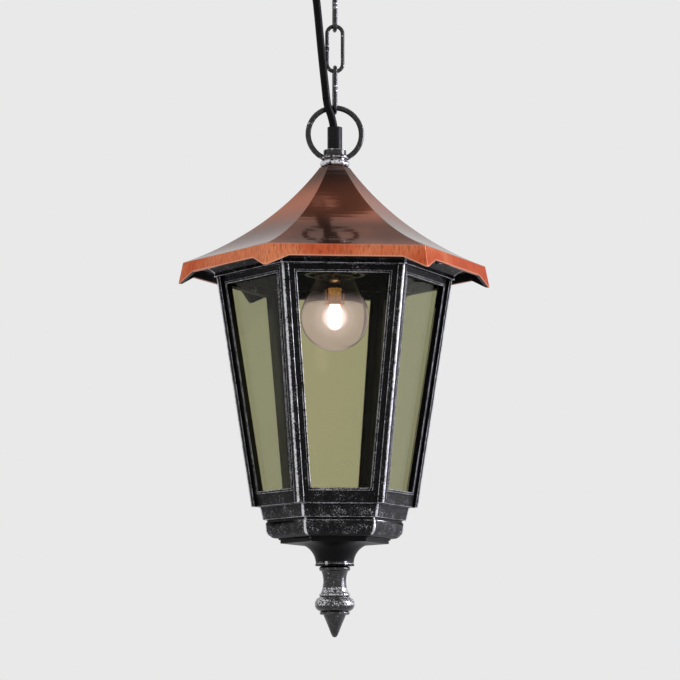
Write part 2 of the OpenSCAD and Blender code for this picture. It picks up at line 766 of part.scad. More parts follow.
// Turned finial: bead, waisted neck, ball between two rings, and a point
module finial() color("gray") lantern() difference() {
    rotate_extrude(convexity = 6) {
        waist = 9.9;
        ball_h = 4.8;
        ball_z = finial_h - 21.4;
        translate([0, -finial_top - 1.1]) square([top_bead_r - 1.6, 1.1]);
        translate([top_bead_r - 1.5, -finial_top - 1.9]) circle(1.5);
        translate([0, -finial_top - 3.4]) square([top_bead_r - 1.5, 3]);
        difference() {
            translate([0, -finial_top - ball_z + 5]) square([top_bead_r - 0.4, ball_z - 8]);
            translate([neck_r + 18, -finial_top - waist]) circle(18, $fn = 180);
        }
        translate([top_bead_r - 1.3, -finial_top - ball_z + 5.9]) circle(1.2);
        translate([0, -finial_top - ball_z + 4.7]) square([top_bead_r - 1.3, 2.4]);
        translate([ball_r - ball_h, -finial_top - ball_z]) circle(ball_h);
        translate([0, -finial_top - ball_z - ball_h]) square([ball_r - ball_h, 2 * ball_h]);
        translate([8.6, -finial_top - ball_z - 5.8]) circle(1.1);
        translate([0, -finial_top - ball_z - 6.9]) square([8.6, 2.2]);
        polygon([
            [0, -finial_top - finial_h], [1.2, -finial_top - finial_h + 0.4],
            [2.1, -finial_top - finial_h + 1.7], [4.5, -finial_top - ball_z - 13.6],
            [6.9, -finial_top - ball_z - 8], [7.4, -finial_top - ball_z - 6.5],
            [0, -finial_top - ball_z - 6.5]
        ]);
    }
    translate([0, 0, -finial_top - 9]) cylinder(d = stud_d + 2 * fit, h = 12);
}

module finial_stud() color("silver") lantern() translate([0, 0, -finial_top - 8.5])
    cylinder(d = stud_d, h = finial_top - base_foot + 3 * base_wall + 8.5 + 7);

module finial_nut() color("silver") lantern()
    translate([0, 0, -base_foot + 3 * base_wall]) hex_nut(10, nut_t, stud_d / 2 + fit);

// LAMPHOLDER AND BULB

module lampholder_cap() color("black") lantern() difference() {
    turned() {
        dome = 14;
        difference() {
            union() {
                translate([holder_r - dome, -holder_split]) circle(dome);
                translate([0, -holder_split]) square([holder_r - dome, dome]);
                translate([0, -holder_split + dome - 1]) square([8, 7]);
            }
            translate([holder_r - dome, -holder_split]) circle(dome - holder_wall);
            translate([0, -holder_split - over]) square([holder_r - dome, dome + over - holder_wall]);
            translate([0, -holder_split - 30]) square([holder_r + 1, 30]);
        }
    }
    translate([0, 0, -60]) cylinder(d = tube_d, h = 60);
}

module lampholder_skirt() color("black") lantern() difference() {
    union() {
        translate([0, 0, -holder_foot]) cylinder(r = holder_r - 0.6, h = holder_foot - holder_split);
        translate([0, 0, -holder_split - 6]) cylinder(r = holder_r, h = 6);
        translate([0, 0, -holder_foot]) cylinder(r = holder_r, h = 2.4);
    }
    translate([0, 0, -holder_foot - over])
        cylinder(r = holder_r - holder_wall, h = holder_foot - holder_split + 2 * over);
}

// Ceramic disc that carries the contacts, with two holes for the wires
module lampholder_insert() color("white") lantern()
    translate([0, 0, -insert_top - insert_t]) difference() {
        cylinder(r = holder_r - holder_wall - seat, h = insert_t);
        for (s = [-1, 1]) translate([s * 9, 0, -over]) cylinder(r = 1.5, h = insert_t + 2 * over);
    }

module lampholder_sleeve() color("goldenrod") lantern() difference() {
    translate([0, 0, -holder_foot + 1.5])
        cylinder(r = cap_r + 0.9, h = holder_foot - 1.5 - insert_top - insert_t);
    translate([0, 0, -holder_foot]) cylinder(r = cap_r + 0.3, h = 60);
}

// Outline of the bulb: a sphere and a conical neck
module bulb_outline(r, neck) {
    ease = 11.8;
    translate([0, -bulb_drop]) circle(r, $fn = 120);
    polygon([
        [0, -bulb_drop], [sqrt(r * r - ease * ease), -bulb_drop + ease],
        [neck, -cap_foot], [neck, -neck_top], [0, -neck_top]
    ]);
}

module bulb_glass() color("white", 0.3) lantern() turned() difference() {
    bulb_outline(bulb_r, cap_r - 0.7);
    bulb_outline(bulb_r - bulb_wall, cap_r - 0.7 - bulb_wall);
    translate([0, -neck_top - 0.5]) square([cap_r - 0.7 - bulb_wall, 2]);
}

// Screw cap: a thin rolled shell, its insulator and the foot contact
module bulb_cap() color("silver") lantern() turned() {
    shell = 0.5;
    difference() {
        union() {
            translate([0, -cap_foot]) square([cap_r - 0.2, cap_foot - shell_top]);
            for (i = [0:3]) translate([cap_r - 0.9, -cap_foot + 3 + 3.6 * i]) circle(0.9, $fn = 32);
        }
        translate([0, -cap_foot - over])
            square([cap_r - 0.2 - shell, cap_foot - shell_top + over - 1]);
    }
    polygon([
        [0, -shell_top - 0.5], [cap_r - 1.2, -shell_top - 0.5], [cap_r - 1.2, -shell_top],
        [5, -contact_top - 1.6], [5, -contact_top], [0, -contact_top]
    ]);
}

// The stem ends above the capsule, whose middle is near the globe's
stem_foot = bulb_drop - 15.3;

module bulb_stem() color("white", 0.4) lantern() turned() {
    polygon([
        [0, -neck_top - 0.6], [cap_r - 1.7, -neck_top - 0.6], [cap_r - 1.7, -neck_top - 1.6],
        [5.5, -neck_top - 5], [3.5, -neck_top - 9], [3.5, -stem_foot], [0, -stem_foot]
    ]);
}

// Copper frame that carries the inner capsule
module bulb_supports() color("peru") lantern() {
    for (s = [-1, 1]) translate([s * 4.9, 0, -stem_foot - 7]) {
        translate([-1.3, -2.2, 0]) cube([2.6, 4.4, 0.8]);
        translate([-1.3, -2.2, 0]) cube([0.7, 4.4, 9.5]);
        translate([0.6, -1.6, 0]) cube([0.7, 3.2, 7]);
    }
}

module bulb_capsule() color("white", 0.5) lantern() {
    translate([0, 0, -stem_foot - 19]) {
        cylinder(r = 4.6, h = 8);
        sphere(r = 4.6);
        translate([0, 0, 8]) cylinder(r1 = 4.6, r2 = 3.3, h = 3.8);
    }
}

ceiling_bracket();
ceiling_rose();
ceiling_hook();
hook_nuts();
rose_nut();
rose_cord_grip();
rose_grip_nut();
terminal_block();
chain_link_upper();
chain_link_middle();
chain_link_lower();
hanging_loop();
cord_grip();
threaded_tube();
tube_washer();
tube_nut();
cord_upper();
cord_middle_upper();
cord_middle_lower();
cord_lower();
roof();
cornice();
roof_screws();
cage_screws();
cage();
pane_front();
pane_front_right();
pane_back_right();
pane_back();
pane_back_left();
pane_front_left();
pane_clips();
base();
base_screws();
finial();
finial_stud();
finial_nut();
lampholder_cap();
lampholder_skirt();
lampholder_insert();
lampholder_sleeve();
bulb_glass();
bulb_cap();
bulb_stem();
bulb_supports();
bulb_capsule();
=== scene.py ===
"""Hexagonal pendant lantern on a short chain, dressed for the studio.

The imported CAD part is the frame. Each sub-assembly below is a class that dresses its
own nodes and builds the pieces that the solids leave out.
"""

from __future__ import annotations

import logging
import math
from dataclasses import dataclass, field
from enum import Enum, auto
from typing import Any, Sequence

import bmesh
import bpy
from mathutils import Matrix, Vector


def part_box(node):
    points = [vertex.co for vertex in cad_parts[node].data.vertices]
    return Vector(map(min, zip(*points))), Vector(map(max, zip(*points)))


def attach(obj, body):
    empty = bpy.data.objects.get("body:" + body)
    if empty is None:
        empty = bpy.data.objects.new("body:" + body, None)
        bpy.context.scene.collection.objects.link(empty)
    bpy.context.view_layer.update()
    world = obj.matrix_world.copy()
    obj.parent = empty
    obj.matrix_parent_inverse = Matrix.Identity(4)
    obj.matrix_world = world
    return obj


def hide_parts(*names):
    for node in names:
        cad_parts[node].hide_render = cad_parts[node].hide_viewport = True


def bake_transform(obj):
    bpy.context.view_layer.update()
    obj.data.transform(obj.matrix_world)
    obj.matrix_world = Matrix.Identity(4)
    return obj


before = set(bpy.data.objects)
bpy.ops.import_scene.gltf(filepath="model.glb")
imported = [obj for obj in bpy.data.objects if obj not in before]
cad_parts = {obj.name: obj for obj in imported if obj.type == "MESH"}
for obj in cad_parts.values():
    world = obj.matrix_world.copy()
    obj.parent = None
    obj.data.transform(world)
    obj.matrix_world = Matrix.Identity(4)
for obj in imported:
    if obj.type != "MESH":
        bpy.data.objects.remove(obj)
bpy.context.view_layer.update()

LOG = logging.getLogger("pendant_lantern")
MM = 0.001
# Faces that meet at less than this many degrees are shaded as one curve
CREASE = 30.0
NEW_PIECE_CREASE = 35.0

Point = tuple[float, float, float]
Tree = bpy.types.NodeTree
Socket = bpy.types.NodeSocket

# Settings of the nodes that come back most often. A Mix node set to colours takes its
# factor at input 0 and its colours at 6 and 7, and gives the mix at output 2.
SMOOTH = {"interpolation_type": "SMOOTHSTEP"}
COLOURS = {"data_type": "RGBA"}


# --------------------------------------------------------------------------- colour and nodes


def linear(code: str) -> tuple[float, float, float, float]:
    """Turn an sRGB hex colour into the linear one that a shader reads.

    Args:
        code: six hex digits with or without a leading #.

    Returns:
        Red, green, blue and an alpha of 1.
    """
    parts = [int(code.lstrip("#")[i : i + 2], 16) / 255 for i in (0, 2, 4)]
    rgb = [p / 12.92 if p <= 0.04045 else ((p + 0.055) / 1.055) ** 2.4 for p in parts]
    return (rgb[0], rgb[1], rgb[2], 1.0)


def per_mm(size: float) -> float:
    """Scale of a pattern whose features are size millimetres apart, in a mesh in metres."""
    return 1.0 / (size * MM)


def add_node(
    tree: Tree,
    kind: str,
    inputs: dict[str | int, Any] | Sequence[Any] = (),
    settings: dict[str, Any] | None = None,
    output: str | int = 0,
) -> Socket | None:
    """Add one node with its settings, its fixed inputs and its links.

    Args:
        tree: the node tree of a material or the world.
        kind: the node's type name, without the word ShaderNode.
        inputs: an output to link, a value or a hex colour to set, for the first inputs in
            their order or for each input by its name or number.
        settings: properties of the node itself.
        output: name or number of the output that is wanted.

    Returns:
        That output, or None for a node that has none.
    """
    node = tree.nodes.new("ShaderNode" + kind)
    for name, value in (settings or {}).items():
        setattr(node, name, value)
    for name, value in inputs.items() if isinstance(inputs, dict) else enumerate(inputs):
        socket = node.inputs[name]
        if isinstance(value, Socket):
            tree.links.new(value, socket)
        else:
            socket.default_value = linear(value) if isinstance(value, str) else value
    return node.outputs[output] if node.outputs else None


def outward_share(tree: Tree, place: Socket) -> Socket:
    """Tell how far a surface faces away from the lantern's axis.

    Args:
        tree: the material's tree.
        place: the point on the surface.

    Returns:
        1 where it faces straight out, -1 where it faces straight in.
    """
    level = add_node(tree, "VectorMath", [place, (1.0, 1.0, 0.0)], {"operation": "MULTIPLY"})
    radial = add_node(tree, "VectorMath", [level], {"operation": "NORMALIZE"})
    facing = add_node(tree, "TexCoord", output="Normal")
    return add_node(tree, "VectorMath", [facing, radial], {"operation": "DOT_PRODUCT"}, "Value")


def seen_rays(tree: Tree) -> Socket:
    """Tell the rays that show the room from the ones that light the lantern.

    Args:
        tree: the tree of the world or of the floor's material.

    Returns:
        1 for camera, transmission and glossy rays, 0 for the others.
    """
    seen = add_node(tree, "LightPath", output="Is Camera Ray")
    rays = seen.node
    for name in ("Is Transmission Ray", "Is Glossy Ray"):
        seen = add_node(tree, "Math", [seen, rays.outputs[name]], {"operation": "MAXIMUM"})
    return seen


def let_lamps_through(tree: Tree, glass: Socket, tint: str) -> Socket:
    """Let lamp light pass straight through glass, coloured by it.

    Args:
        tree: the material's tree.
        glass: the glass shader that all other rays meet.
        tint: the colour that the light takes on.

    Returns:
        The joined shader.
    """
    shadow = add_node(tree, "LightPath", output="Is Shadow Ray")
    passing = add_node(tree, "BsdfTransparent", {"Color": tint})
    return add_node(tree, "MixShader", [shadow, glass, passing])


# --------------------------------------------------------------------------- finishes


class Finish:
    """A surface treatment, whose material is made once and shared by its pieces."""

    name: str

    def surface(self, tree: Tree, place: Socket) -> Socket:
        """Build the shader, which each finish does in its own way."""
        raise NotImplementedError

    def material(self) -> bpy.types.Material:
        """Make the material, or give the one that was made before.

        Returns:
            The finish's material.
        """
        material = bpy.data.materials.get(self.name)
        if material is None:
            material = bpy.data.materials.new(self.name)
            material.use_nodes = True
            tree = material.node_tree
            tree.nodes.clear()
            place = add_node(tree, "TexCoord", output="Object")
            add_node(tree, "OutputMaterial", {"Surface": self.surface(tree, place)})
        return material


@dataclass(frozen=True)
class RubbedCastAluminium(Finish):
    """Die-cast aluminium, powder-coated black and dry-brushed with antique silver.

    The eye gets a pebbled black skin whose edges and high grains catch pale silver.
    Sizes are in mm and heights in m.
    """

    name: str = "rubbed_cast_aluminium"
    black: str = "#080809"
    silver: str = "#dcdce0"
    # How much silver the brush left: 0 is a few specks, 1 is nearly bare
    rubbed: float = 0.42
    # Width of the rubbed band along an edge
    band: float = 0.55
    # Silver grains are about 0.4 mm on the casting and drawn at 0.75 mm so that they show
    grain: float = 0.75
    # Patches in which the brush pressed harder, and the pebbles of the powder coat
    patch: float = 7.0
    pebble: float = 1.2
    pebble_depth: float = 0.12
    # Rounding of a plain edge and of the lantern's upright corners, which are rubbed nearly bare
    edge_radius: float = 0.45
    corner_radius: float = 1.5
    corner_wear: float = 0.28
    # How far beside a corner its wear is whole, and how far it reaches
    corner_reach: tuple[float, float] = (0.6, 1.15)
    # The brush left nothing below this height, nor on faces that look inward
    calm_below: float = -0.4235
    inward_black: bool = True
    # Light grey dust that the brush left everywhere, as a share of silver
    dust: float = 0.04
    # Heights between which a turned bead was rubbed harder, and how much
    bright_band: tuple[float, float] | None = None
    bright_extra: float = 0.1
    # The wear at which silver starts to show on a coat that was hardly rubbed, how much
    # rubbing lowers it, and how quickly silver takes over from there
    first_silver: float = 0.94
    lowered_by_rubbing: float = 0.32
    silver_step: float = 0.17
    shine: float = 0.1
    roughness: float = 0.42
    silver_roughness: float = 0.3

    def surface(self, tree: Tree, place: Socket) -> Socket:
        """Mix black coat and silver by the wear, over pebbles and rounded edges.

        Args:
            tree: the material's tree.
            place: the point on the casting.

        Returns:
            The shader.
        """
        corner = self.corner(tree, place)
        wear = self.wear(tree, place, corner)
        start = self.first_silver - self.lowered_by_rubbing * self.rubbed
        silver = add_node(tree, "MapRange", [wear, start, start + self.silver_step], SMOOTH)
        dust = add_node(tree, "MapRange", [wear, start - 0.2, start + 0.1, 0.0, self.dust], SMOOTH)
        silver = add_node(tree, "Math", [silver, dust], {"operation": "MAXIMUM"})
        colour = add_node(tree, "Mix", {0: silver, 6: self.black, 7: self.silver}, COLOURS, 2)
        rough = add_node(
            tree, "MapRange", [silver, 0.0, 1.0, self.roughness, self.silver_roughness], SMOOTH
        )
        edge, upright = self.edge_radius * MM, self.corner_radius * MM
        radius = add_node(tree, "MapRange", [corner, 0.0, 1.0, edge, upright], SMOOTH)
        rounded = add_node(tree, "Bevel", {"Radius": radius}, {"samples": 6})
        pebbles = add_node(
            tree, "TexNoise", {"Vector": place, "Scale": per_mm(self.pebble), "Detail": 4.0}
        )
        depth = self.pebble_depth * MM
        normal = add_node(
            tree, "Bump", {"Strength": 0.5, "Distance": depth, "Height": pebbles, "Normal": rounded}
        )
        return add_node(
            tree,
            "BsdfPrincipled",
            {
                "Base Color": colour,
                "Metallic": silver,
                "Roughness": rough,
                "Specular IOR Level": self.shine,
                "Normal": normal,
            },
        )

    def wear(self, tree: Tree, place: Socket, corner: Socket) -> Socket:
        """Add up what the dry brush caught: grains, edges and corners, and not the hollows.

        Args:
            tree: the material's tree.
            place: the point on the casting.
            corner: how near an upright corner it is.

        Returns:
            The amount of wear, about 0.7 on a plain face.
        """
        total, patch = (
            add_node(tree, "TexNoise", {"Vector": place, "Scale": per_mm(size), "Detail": detail})
            for size, detail in ((self.grain, 3.0), (self.patch, 2.0))
        )
        shut_in = add_node(
            tree,
            "AmbientOcclusion",
            {"Distance": self.band * MM},
            {"inside": True, "samples": 8},
            "AO",
        )
        edge = add_node(tree, "MapRange", [shut_in, 0.97, 0.6], SMOOTH)
        open_air = add_node(tree, "AmbientOcclusion", {"Distance": 5.0 * MM}, {"samples": 4}, "AO")
        hollow = add_node(tree, "MapRange", [open_air, 0.85, 0.4], SMOOTH)
        height = add_node(tree, "SeparateXYZ", [place], output="Z")
        calm = add_node(
            tree, "MapRange", [height, self.calm_below + MM, self.calm_below - MM], SMOOTH
        )
        # Each cause of wear, and how much it adds or takes away
        shares = [
            (patch, 0.35),
            (edge, 0.29),
            (corner, self.corner_wear),
            (hollow, -0.42),
            (calm, -0.16 - self.corner_wear),
        ]
        if self.bright_band:
            shares.append((self.bead(tree, height, *self.bright_band), self.bright_extra))
        if self.inward_black:
            inward = add_node(tree, "MapRange", [outward_share(tree, place), -0.1, -0.3], SMOOTH)
            shares.append((inward, -0.8))
        for cause, share in shares:
            total = add_node(tree, "Math", [cause, share, total], {"operation": "MULTIPLY_ADD"})
        return total

    def bead(self, tree: Tree, height: Socket, low: float, high: float) -> Socket:
        """Mark the heights of a bead that was rubbed harder.

        Args:
            tree: the material's tree.
            height: the height on the casting.
            low: the bead's foot.
            high: the bead's top.

        Returns:
            1 on the bead and 0 elsewhere.
        """
        fade = 0.5 * MM
        above = add_node(tree, "MapRange", [height, low - fade, low + fade], SMOOTH)
        below = add_node(tree, "MapRange", [height, high + fade, high - fade], SMOOTH)
        return add_node(tree, "Math", [above, below], {"operation": "MULTIPLY"})

    def corner(self, tree: Tree, place: Socket) -> Socket:
        """Mark a narrow band along the lantern's six upright corners.

        Args:
            tree: the material's tree.
            place: the point on the casting.

        Returns:
            1 on a corner, falling to 0 beside it.
        """
        x = add_node(tree, "SeparateXYZ", [place], output="X")
        turn = add_node(tree, "Math", [x.node.outputs["Y"], x], {"operation": "ARCTAN2"})
        # The corners stand 60 degrees apart, so the turn is told from the nearest of them
        half_side = math.radians(30)
        turn = add_node(tree, "Math", [turn, half_side, -half_side], {"operation": "WRAP"})
        level = add_node(tree, "VectorMath", [place, (1.0, 1.0, 0.0)], {"operation": "MULTIPLY"})
        reach = add_node(tree, "VectorMath", [level], {"operation": "LENGTH"}, "Value")
        aside = add_node(tree, "Math", [turn, reach], {"operation": "MULTIPLY"})
        aside = add_node(tree, "Math", [aside], {"operation": "ABSOLUTE"})
        whole, gone = self.corner_reach
        return add_node(tree, "MapRange", [aside, gone * MM, whole * MM], SMOOTH)


@dataclass(frozen=True)
class LacqueredCopperPaint(Finish):
    """Cast aluminium roof, sprayed dark copper, streaked by hand and cleared with lacquer.

    The eye gets mirror-like brown copper faces with a painted reflection band of brighter
    copper and a painted highlight along the ridges, over a brighter orange skirt with
    dark upright brush streaks. Sizes are in mm and heights in m.
    """

    name: str = "lacquered_copper_paint"
    # Height of the eave: the sweep is above it and the skirt below
    eave: float = -0.2446
    top: float = -0.18
    # How far below the top the painted reflection band of bright copper begins, is full, begins to
    # fade and is gone
    reflection_band_drop: tuple[float, float, float, float] = (0.004, 0.026, 0.028, 0.05)
    # How much of the dark coat comes back below the painted reflection band
    reflection_band_fade: float = 0.9
    dark: str = "#5e4b46"
    # Bright copper of the painted reflection band, also laid in the spray's thicker clouds
    glow: str = "#cb7f63"
    grazing: str = "#ad9c96"
    # Painted highlight along the ridges and other convex edges
    ridge_highlight: str = "#efb79c"
    skirt: str = "#c95a32"
    bright: str = "#e0855a"
    streak: str = "#6e2f1c"
    inside: str = "#0e0d0f"
    # Brush hairs leave streaks about 0.4 mm wide, drawn at 0.9 mm so that they show
    hair: float = 0.9
    stroke: float = 12.0
    hair_depth: float = 0.05
    # Clouds in which the spray lies thicker, and the width of the painted highlight along the
    # ridges
    cloud: float = 38.0
    ridge_highlight_band: float = 1.2
    edge_radius: float = 0.6
    # Roughness under the lacquer, of the swept faces and of the brushed skirt
    roughness: tuple[float, float] = (0.13, 0.3)
    metallic: float = 0.85

    def surface(self, tree: Tree, place: Socket) -> Socket:
        """Paint the sweep with its painted reflection band, the skirt, a painted highlight on the
        ridges and the inside, under one lacquer.

        Args:
            tree: the material's tree.
            place: the point on the roof.

        Returns:
            The shader.
        """
        height = add_node(tree, "SeparateXYZ", [place], output="Z")
        across, along = per_mm(self.hair), per_mm(self.stroke)
        upright = add_node(tree, "Mapping", {"Vector": place, "Scale": (across, across, along)})
        hairs = add_node(tree, "TexNoise", {"Vector": upright, "Scale": 1.0, "Detail": 3.0})
        cloud = add_node(
            tree, "TexNoise", {"Vector": place, "Scale": per_mm(self.cloud), "Detail": 2.0}
        )
        upper = self.sweep(tree, height, cloud)
        patches = add_node(tree, "MapRange", [cloud, 0.35, 0.7], SMOOTH)
        lower = add_node(tree, "Mix", {0: patches, 6: self.skirt, 7: self.bright}, COLOURS, 2)
        streaks = add_node(tree, "MapRange", [hairs, 0.42, 0.72, 0.0, 0.55], SMOOTH)
        lower = add_node(tree, "Mix", {0: streaks, 6: lower, 7: self.streak}, COLOURS, 2)
        is_skirt = add_node(
            tree, "MapRange", [height, self.eave + 1.2 * MM, self.eave - 0.4 * MM], SMOOTH
        )
        colour = add_node(tree, "Mix", {0: is_skirt, 6: upper, 7: lower}, COLOURS, 2)
        # Convex edges and ridges, found by tracing inside the roof, get a painted highlight
        shut_in = add_node(
            tree,
            "AmbientOcclusion",
            {"Distance": self.ridge_highlight_band * MM},
            {"inside": True, "samples": 8},
            "AO",
        )
        edge = add_node(tree, "MapRange", [shut_in, 0.95, 0.5, 0.0, 0.75], SMOOTH)
        inner = add_node(tree, "MapRange", [outward_share(tree, place), -0.05, -0.12], SMOOTH)
        # A painted highlight on the ridges, then the black paint of the inside
        for share, paint in ((edge, self.ridge_highlight), (inner, self.inside)):
            colour = add_node(tree, "Mix", {0: share, 6: colour, 7: paint}, COLOURS, 2)
        rough = add_node(tree, "MapRange", [is_skirt, 0.0, 1.0, *self.roughness], SMOOTH)
        metal = add_node(tree, "MapRange", [inner, 0.0, 1.0, self.metallic, 0.0], SMOOTH)
        rounded = add_node(tree, "Bevel", {"Radius": self.edge_radius * MM}, {"samples": 4})
        depth = self.hair_depth * MM
        normal = add_node(
            tree, "Bump", {"Strength": 0.25, "Distance": depth, "Height": hairs, "Normal": rounded}
        )
        return add_node(
            tree,
            "BsdfPrincipled",
            {
                "Base Color": colour,
                "Metallic": metal,
                "Roughness": rough,
                "Specular IOR Level": 0.3,
                "Specular Tint": self.grazing,
                "Coat Weight": 0.26,
                "Coat Roughness": 0.05,
                "Normal": normal,
            },
        )

    def sweep(self, tree: Tree, height: Socket, cloud: Socket) -> Socket:
        """Colour the swept faces with a painted reflection: dark at the top, a band of bright
        copper, and dark again.

        Args:
            tree: the material's tree.
            height: the height on the roof.
            cloud: the spray's thickness.

        Returns:
            The colour.
        """
        # Painted reflection: a band of bright copper across the swept faces, set by height
        begin, full, fade, gone = (self.top - drop for drop in self.reflection_band_drop)
        rise = add_node(tree, "MapRange", [height, begin, full], SMOOTH)
        colour = add_node(tree, "Mix", {0: rise, 6: self.dark, 7: self.glow}, COLOURS, 2)
        fall = add_node(tree, "MapRange", [height, fade, gone, 0.0, self.reflection_band_fade], SMOOTH)
        colour = add_node(tree, "Mix", {0: fall, 6: colour, 7: self.dark}, COLOURS, 2)
        patches = add_node(tree, "MapRange", [cloud, 0.4, 0.75, 0.0, 0.3], SMOOTH)
        return add_node(tree, "Mix", {0: patches, 6: colour, 7: self.glow}, COLOURS, 2)


@dataclass(frozen=True)
class TintedFloatGlass(Finish):
    """Flat drawn glass with a warm olive tint, the colour of weak tea.

    The eye gets a clear view through it, a khaki cast and a soft sheen on its face.
    """

    name: str = "tinted_float_glass"
    tint: str = "#d0cdb3"
    edge_on: str = "#c2c2ad"
    cast: str = "#c3c8ab"
    # Size of the faint clouds in the tint, in mm
    cloud: float = 60.0
    # Glass is 1.5, but a lower one keeps the sheen as faint as it is on these panes
    bend: float = 1.17

    def surface(self, tree: Tree, place: Socket) -> Socket:
        """Tint clear glass, greener where it is seen at a slant.

        Args:
            tree: the material's tree.
            place: the point on the pane.

        Returns:
            The shader, which lets lamp light through.
        """
        facing = add_node(tree, "LayerWeight", {"Blend": 0.5}, output="Facing")
        slant = add_node(tree, "MapRange", [facing, 0.1, 0.5], SMOOTH)
        colour = add_node(tree, "Mix", {0: slant, 6: self.tint, 7: self.edge_on}, COLOURS, 2)
        cloud = add_node(
            tree, "TexNoise", {"Vector": place, "Scale": per_mm(self.cloud), "Detail": 1.0}
        )
        share = add_node(tree, "MapRange", [cloud, 0.3, 0.8, 0.0, 0.35], SMOOTH)
        colour = add_node(tree, "Mix", {0: share, 6: colour, 7: self.cast}, COLOURS, 2)
        glass = add_node(
            tree,
            "BsdfPrincipled",
            {
                "Base Color": colour,
                "Roughness": 0.0,
                "IOR": self.bend,
                "Transmission Weight": 1.0,
            },
        )
        return let_lamps_through(tree, glass, self.tint)


@dataclass(frozen=True)
class BlownBulbGlass(Finish):
    """Thin blown soda-lime glass, with a faint warm glow from the lit capsule painted in as
    emission.

    The eye gets a clear ball with a painted dark thin rim and a milky pink lower half.
    """

    name: str = "blown_bulb_glass"
    tint: str = "#f6eeea"
    milk: str = "#f3ecf2"
    # Painted dark reflection along the rim, where the glass is seen edge-on
    rim: str = "#2c221e"
    painted_glow_tint: str = "#f1dbf6"
    # Heights in m between which the milk fades out upward
    milk_top: tuple[float, float] = (-0.2708, -0.2643)
    # Painted glow of the milky half at its rim and near the capsule, and of a painted blaze round
    # the capsule, standing in for the capsule's light in the glass
    glow: tuple[float, float] = (0.085, 0.15)
    blaze: float = 0.32
    # Glass is 1.5, but the thin wall hardly bends the view, so the solid one bends little
    bend: float = 1.2

    def surface(self, tree: Tree, place: Socket) -> Socket:
        """Paint a dark rim, cloud the lower half and paint a glow into it round the capsule.

        Args:
            tree: the material's tree.
            place: the point on the bulb.

        Returns:
            The shader, which lets lamp light through.
        """
        height = add_node(tree, "SeparateXYZ", [place], output="Z")
        facing = add_node(tree, "LayerWeight", {"Blend": 0.5}, output="Facing")
        # Painted dark reflection where the glass is seen edge-on
        rim = add_node(tree, "MapRange", [facing, 0.74, 0.97], SMOOTH)
        full, gone = self.milk_top
        low = add_node(tree, "MapRange", [height, gone, full], SMOOTH)
        colour = add_node(tree, "Mix", {0: low, 6: self.tint, 7: self.milk}, COLOURS, 2)
        colour = add_node(tree, "Mix", {0: rim, 6: colour, 7: self.rim}, COLOURS, 2)
        # Painted glow: emission over the lower half, strongest in the middle of the ball as it is
        # seen
        halo = add_node(tree, "MapRange", [facing, 0.28, 0.03, *self.glow], SMOOTH)
        blaze = add_node(tree, "MapRange", [facing, 0.07, 0.03, 0.0, self.blaze], SMOOTH)
        halo = add_node(tree, "Math", [halo, blaze], {"operation": "ADD"})
        glow = add_node(tree, "Math", [low, halo], {"operation": "MULTIPLY"})
        glass = add_node(
            tree,
            "BsdfPrincipled",
            {
                "Base Color": colour,
                "Roughness": 0.0,
                "IOR": self.bend,
                "Transmission Weight": 1.0,
                "Emission Color": self.painted_glow_tint,
                "Emission Strength": glow,
            },
        )
        return let_lamps_through(tree, glass, "#ffffff")


@dataclass(frozen=True)
class LitHalogenCapsule(Finish):
    """Quartz capsule of a lit halogen burner.

    The eye gets a white-hot bead with a warm edge.
    """

    name: str = "lit_halogen_capsule"
    core: str = "#fff6e6"
    edge: str = "#ffcf9e"
    strength: float = 5.0

    def surface(self, tree: Tree, place: Socket) -> Socket:
        """Let the capsule glow, warmer towards its edge.

        Args:
            tree: the material's tree.
            place: the point on the capsule, which its even glow doesn't need.

        Returns:
            The shader.
        """
        facing = add_node(tree, "LayerWeight", {"Blend": 0.4}, output="Facing")
        rim = add_node(tree, "MapRange", [facing, 0.3, 0.9], SMOOTH)
        colour = add_node(tree, "Mix", {0: rim, 6: self.core, 7: self.edge}, COLOURS, 2)
        return add_node(
            tree,
            "BsdfPrincipled",
            {
                "Base Color": self.core,
                "Roughness": 0.1,
                "Emission Color": colour,
                "Emission Strength": self.strength,
            },
        )


@dataclass(frozen=True)
class TurnedMetal(Finish):
    """Bare or plated metal that was turned, drawn or pressed and shows fine tool lines.

    The eye gets a plain metal colour with faint rings and a few dull patches, and beside the
    capsule a painted glow.
    Sizes are in mm.
    """

    name: str
    colour: str
    dull: str
    roughness: float = 0.28
    # Distance between two tool lines, how long one stays even, and how deep it is
    lines: float = 0.9
    line_length: float = 14.0
    line_depth: float = 0.04
    # Size of the patches that handling left dull
    patch: float = 5.0
    # Painted glow, as emission, that stands in for the light a lit capsule close by gives it
    lit: float = 0.0

    def surface(self, tree: Tree, place: Socket) -> Socket:
        """Lay tool lines, dull patches and any painted glow on the metal.

        Args:
            tree: the material's tree.
            place: the point on the piece.

        Returns:
            The shader.
        """
        across, along = per_mm(self.lines), per_mm(self.line_length)
        flat = add_node(tree, "Mapping", {"Vector": place, "Scale": (along, along, across)})
        rings = add_node(tree, "TexNoise", {"Vector": flat, "Scale": 1.0, "Detail": 2.0})
        cloud = add_node(
            tree, "TexNoise", {"Vector": place, "Scale": per_mm(self.patch), "Detail": 3.0}
        )
        share = add_node(tree, "MapRange", [cloud, 0.45, 0.7], SMOOTH)
        colour = add_node(tree, "Mix", {0: share, 6: self.colour, 7: self.dull}, COLOURS, 2)
        smooth, rough = self.roughness - 0.06, self.roughness + 0.1
        rough = add_node(tree, "MapRange", [cloud, 0.3, 0.7, smooth, rough], SMOOTH)
        normal = add_node(
            tree, "Bump", {"Strength": 0.2, "Distance": self.line_depth * MM, "Height": rings}
        )
        return add_node(
            tree,
            "BsdfPrincipled",
            {
                "Base Color": colour,
                "Metallic": 1.0,
                "Roughness": rough,
                # Painted glow standing in for the capsule's light
                "Emission Color": self.colour,
                "Emission Strength": self.lit,
                "Normal": normal,
            },
        )


